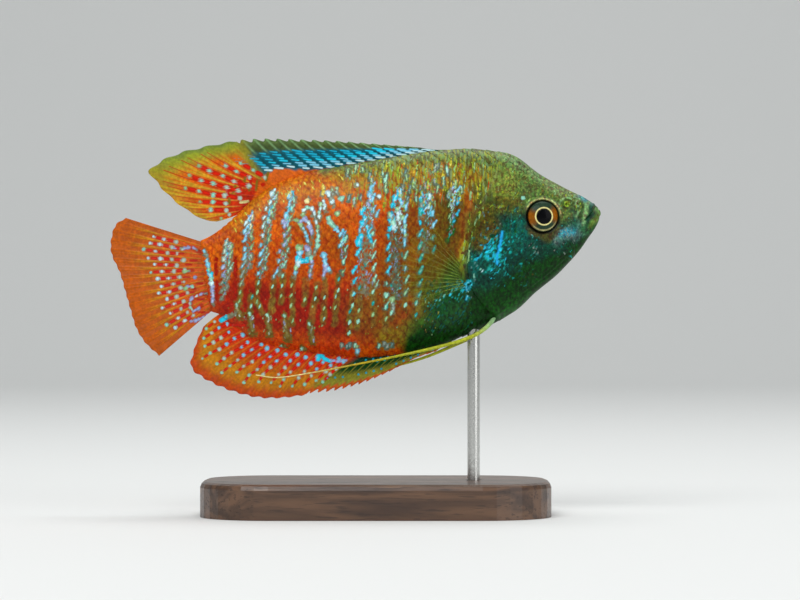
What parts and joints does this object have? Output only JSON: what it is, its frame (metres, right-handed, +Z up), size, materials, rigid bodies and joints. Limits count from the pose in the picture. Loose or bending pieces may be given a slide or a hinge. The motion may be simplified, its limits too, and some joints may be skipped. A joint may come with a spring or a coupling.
{
  "type": "dwarf gourami fish model on a display stand",
  "caption": "Life-size male dwarf gourami with spread fins and trailing pelvic feelers, held by a slim rod over a flat rounded base.",
  "frame": {"origin": "on the surface that the stand rests on, under the middle of the fish's length", "axes": "+X towards the snout, +Y to the fish's left side, +Z up"},
  "size_m": [0.0704, 0.028, 0.054],
  "materials": {
    "head_skin": "wet skin, olive above and teal on the cheeks, with blue-green spangles",
    "gill_cover_skin": "wet skin, turquoise spangles over dark teal",
    "body_skin": "wet scales, orange-red with pale blue vertical bars",
    "eyes": "clear, wet eye with a black pupil in a pale yellow ring",
    "dorsal_membrane": "thin translucent membrane, blue in front and orange with red dashes behind",
    "red_membrane": "thin translucent membrane, orange-red with pale blue dots",
    "clear_membrane": "nearly clear membrane with faint rays",
    "feelers": "smooth thread, yellow, paler to the tip",
    "stand_wood": "dark hardwood, satin varnish",
    "stand_steel": "polished rod"
  },
  "bodies": {
    "root": {"head": "head_skin", "lower_jaw": "head_skin", "gill_cover_left": "gill_cover_skin", "gill_cover_right": "gill_cover_skin", "torso": "body_skin", "tail_stalk": "body_skin", "eye_left": "eyes", "eye_right": "eyes", "fin_dorsal": "dorsal_membrane", "fin_anal": "red_membrane", "fin_tail": "red_membrane", "fin_pectoral_left": "clear_membrane", "fin_pectoral_right": "clear_membrane", "feeler_left": "feelers", "feeler_right": "feelers", "stand_base": "stand_wood", "stand_rod": "stand_steel"}
  },
  "joints": []
}
